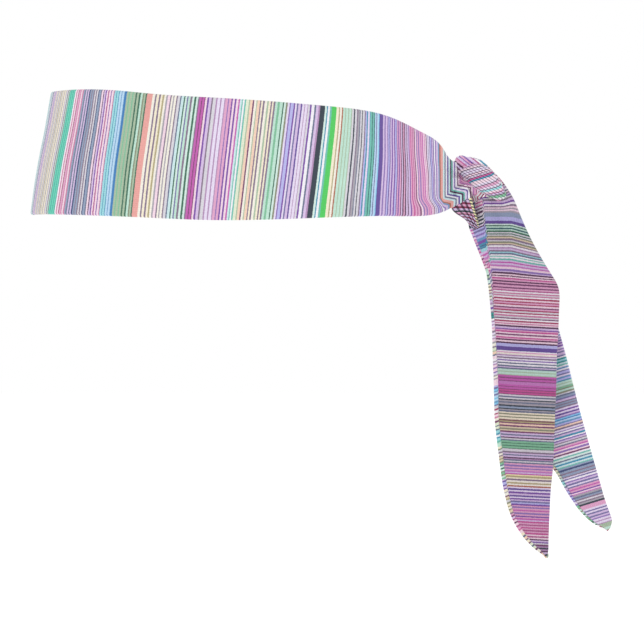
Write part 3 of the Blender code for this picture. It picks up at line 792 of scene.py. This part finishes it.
LEFT_TAIL = Tail(
    "left", (124.0, -30.5), 0.0,
    [(-26, -11.0), (-16, -13.2), (-10, -12.6), (-4, -12.2), (0, -13.4), (3.3, -14.8), (8, -12.9), (13.6, -10.7), (18.5, -8.7), (26.8, -5.6), (33.7, -4.6), (45.2, -3.5),
     (56.2, -2.5), (77.8, -1.3), (98.9, -0.9), (111.1, 0.5), (121.9, 1.9), (131.4, 3.2), (142.5, 5.7), (149.8, 8.7), (156.4, 12.9),
     (161.6, 17.7), (164.0, 20.8), (165.6, 23.4)],
    [(-26, -10.0), (-16, -8.8), (-12.4, -8.4), (2.1, -6.6), (15.6, -5.2), (25.9, -3.75), (36.1, -2.7), (45, -2.3), (56.2, -1.3), (77.8, -0.1),
     (98.9, 0.3), (111.1, 1.7), (121.9, 3.1), (131.4, 4.4), (142.5, 6.9), (149.8, 9.9), (156.4, 14.0), (161.6, 18.8), (164.0, 21.8), (165.6, 23.9)],
    [(-26, -8.6), (-25.2, -6.4), (-24, -4.0), (-21.2, -1.0), (-16.8, 2.9), (-11.6, 6.3), (-8, 8.3), (-1.1, 11.0), (6.7, 14.4), (14.1, 18.1), (22.2, 22.7), (28.8, 26.9), (32.5, 29.2), (35.7, 30.1),
     (39.6, 30.3), (45.5, 30.0), (55.7, 29.7), (69.5, 28.9), (83.2, 28.8), (98.9, 28.2), (104.3, 28.0), (121.9, 27.4), (134.4, 26.1),
     (144.4, 25.6), (154.2, 25.2), (160.9, 25.0), (163.5, 25.2), (165.6, 24.4)],
    0.105, 0.42, TAIL_X + 1.05, 165.6,
)
RIGHT_TAIL = Tail(
    "right", (117.6, -31.5), 16.5,
    [(-16, -8.6), (-6, -8.2), (4.0, -7.6), (15.6, -6.4), (24.5, -6.4), (36.5, -7.4), (56.5, -8.9), (71.5, -9.9), (86.5, -10.3),
     (101.5, -9.8), (113.5, -6.8), (126.1, -1.9), (131.1, -0.3), (139.0, 1.3), (149.4, 4.4), (155.8, 7.6), (160.5, 11.2), (162.9, 14.4)],
    [(-16, -8.0), (-6, -7.4), (4.0, -6.8), (15.6, -5.6), (24.5, -5.6), (36.5, -6.6), (56.5, -8.1), (71.5, -9.1), (86.5, -9.5),
     (101.5, -9.0), (113.5, -6.0), (126.1, -1.1), (131.1, 0.5), (139.0, 2.1), (149.4, 5.2), (155.8, 8.4), (160.5, 12.0), (162.9, 15.0)],
    [(-16, 5.0), (-6, 5.6), (4.0, 7.2), (10.0, 9.6), (20.0, 13.2), (35.0, 17.0), (50.0, 18.8), (63.0, 19.0), (77.4, 18.7), (90.6, 18.1),
     (105.0, 17.7), (125.2, 17.5), (147.6, 17.5), (154.4, 18.0), (160.0, 18.5), (162.9, 16.4)],
    0.0, 0.0, -TAIL_X + 1.05, 162.9,
)

# the seen faces of the tails and the turned strip are the band's cloth made darker (shade 0.665, 0.82 and 0.76 against
# the band's 0.895): painted shade on the hanging tails
left_face = knit("printed_knit_left_tail", stripes(17, -26, LEFT_PLAN, pitch=1.4, pale_share=(0.42, 0.60)), tint=(1.0, 0.94, 1.0), shade=0.665, line=0.0)
left_back = knit("lining_knit_left_tail", unseen(31, -30, 178), shade=0.9)
right_face = knit("lining_knit_right_tail", stripes(19, -22, RIGHT_PLAN, pitch=1.45, pale_share=(0.44, 0.62)), tint=(1.0, 0.95, 1.0), shade=0.82, line=0.0)
right_back = knit("printed_knit_right_tail", unseen(47, -30, 178), shade=0.9)
turned_look = knit("printed_knit_turned", stripes(29, -30, TURNED_PLAN, pale_share=(0.42, 0.60)), tint=(1.0, 0.95, 1.0), shade=0.76, line=0.0)
tails = []
for tail, look, behind in ((LEFT_TAIL, left_face, left_back), (RIGHT_TAIL, right_face, right_back)):
    side = tail.side
    face_name, back_name = ("outer", "lining") if side == "left" else ("lining", "outer")
    second, third = (65.0, 117.0) if side == "left" else (64.0, 115.0)
    cuts = [-26.0 if side == "left" else -16.0, 9.5, 39.0, 91.0, tail.end]
    joints = [("headband", "root", -9.0, 9.0), ("root", "upper", 10.0, 17.0), ("upper", "lower", second - 9, second + 9), ("lower", "tip", third - 9, third + 9)]
    for number, (a, b, start, end) in enumerate(joints):
        low, high = cuts[number], cuts[number + 1]
        rows = np.linspace(low, high, int((high - low) / 0.8) + 1)
        if number == 3:
            rows = np.concatenate([np.linspace(low, tail.end - 12, 60), tail.end - 12 * (1 - np.linspace(0, 1, 26)[1:] ** 0.75)])
        part = b
        points, uv = tail.surface(rows, 0.7, 0.0, 25)
        face_ply = ply(f"{side}_tail_{part}_{face_name}_ply", points, uv, 0.0, 1.0, look, roll=0.9)
        if side == "left" and number < 3:
            # in front of the crease the strip is turned over, and its other length of print shows
            face_ply.data.materials.append(turned_look)
            for polygon in face_ply.data.polygons:
                down = -polygon.center.z / MM + tail.pivot[1]
                if polygon.center.y / MM - tail.pivot[0] < float(tail.edges(np.array(down))[1]):
                    polygon.material_index = 1
        points, uv = tail.surface(rows, (-0.2 - 0.8 * ease((rows - 45.0) / 30.0))[:, None], -0.2, 25)
        uv = uv + np.array([4.4, 0.0])
        back_ply = ply(f"{side}_tail_{part}_{back_name}_ply", points, uv, TAIL_T, 1.08, behind, roll=0.9)
        tails.append((tail, part, number, a, b, start, end, face_ply, back_ply, face_name, back_name, low, high))

# ---- which CAD solids each piece stands for -----------------------------------------------------------------
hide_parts("band_outer_panel", "band_lower_seam_thread")
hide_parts("band_lining_panel", "band_upper_seam_thread")
for piece, slot in ((band_outer, "printed_knit"), (band_lining, "lining_knit")):
    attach(piece, "headband")


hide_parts("knot_outer_turn")
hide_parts("knot_inner_bundle")
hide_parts("knot_lower_turn")
for piece in (wrap, lump):
    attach(piece, "headband")
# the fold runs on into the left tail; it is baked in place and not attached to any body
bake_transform(under)

for tail, part, number, a, b, start, end, face_ply, back_ply, face_name, back_name, low, high in tails:
    side = tail.side
    for piece, kind in ((face_ply, face_name), (back_ply, back_name)):
        tail.point(start)
        tail.point(end)
        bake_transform(piece)
        solids = [f"{side}_tail_{part}_{'outer' if kind == 'outer' else 'lining'}_panel"]
        if kind == "outer":
            solids += {"root": [], "upper": [f"{side}_tail_upper_front_seam_thread"], "lower": [f"{side}_tail_lower_front_seam_thread"], "tip": [f"{side}_tail_tip_seam_thread"]}[part]
        else:
            solids += {"root": [], "upper": [f"{side}_tail_upper_rear_seam_thread"], "lower": [f"{side}_tail_lower_rear_seam_thread"], "tip": []}[part]
        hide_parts(*solids)


for tail, part, number, a, b, start, end, face_ply, back_ply, face_name, back_name, low, high in tails:
    at = np.linspace(low, high, 200)
    front, crease, rear = tail.edges(at)

# ---- stage, lights and camera --------------------------------------------------------------------------------
def flat_look(name, colour, rough, glow=0.0):
    made = bpy.data.materials.new(name)
    made.use_nodes = True
    shader = made.node_tree.nodes["Principled BSDF"]
    shader.inputs["Base Color"].default_value = colour
    shader.inputs["Roughness"].default_value = rough
    shader.inputs["Specular IOR Level"].default_value = 0.0
    if glow:
        shader.inputs["Emission Color"].default_value = (1, 1, 1, 1)
        shader.inputs["Emission Strength"].default_value = glow
    return made


floor_mesh = bpy.data.meshes.new("floor")
floor_mesh.from_pydata([(-30, -30, -0.62), (30, -30, -0.62), (30, 30, -0.62), (-30, 30, -0.62)], [], [(0, 1, 2, 3)])
floor_mesh.materials.append(flat_look("pale_floor", (0.93, 0.93, 0.93, 1), 0.9, 0.25))
floor = bpy.data.objects.new("floor", floor_mesh)
bpy.context.scene.collection.objects.link(floor)

world = bpy.data.worlds.new("studio")
bpy.context.scene.world = world
world.use_nodes = True
world.node_tree.nodes["Background"].inputs[0].default_value = (1, 1, 1, 1)
world.node_tree.nodes["Background"].inputs[1].default_value = 1.0


def area_light(name, spot, aim, size, power):
    light = bpy.data.lights.new(name, "AREA")
    light.shape = "SQUARE"
    light.size = size
    light.energy = power
    lamp = bpy.data.objects.new(name, light)
    bpy.context.scene.collection.objects.link(lamp)
    lamp.location = spot
    from mathutils import Vector

    lamp.rotation_euler = (Vector(aim) - Vector(spot)).to_track_quat("-Z", "Y").to_euler()
    return lamp


area_light("key", (1.6, -0.7, 1.3), (0, 0.03, -0.05), 1.2, 3.6)
area_light("fill", (1.4, 1.5, 0.2), (0, 0.03, -0.05), 1.4, 1.2)

camera_data = bpy.data.cameras.new("camera")
camera = bpy.data.objects.new("camera", camera_data)
bpy.context.scene.collection.objects.link(camera)
camera_data.type = "PERSP"
camera_data.sensor_width = 36.0
camera_data.lens = 36.0 * 7.0 / 0.31556
camera_data.clip_start, camera_data.clip_end = 0.5, 60.0
from mathutils import Vector

eye, target = Vector((7.0, 0.03773, 0.0)), Vector((0.0, 0.03773, -0.08183))
camera.location = eye
camera.rotation_euler = (target - eye).to_track_quat("-Z", "Y").to_euler()
bpy.context.scene.camera = camera
bpy.context.scene.view_settings.view_transform = "Standard"
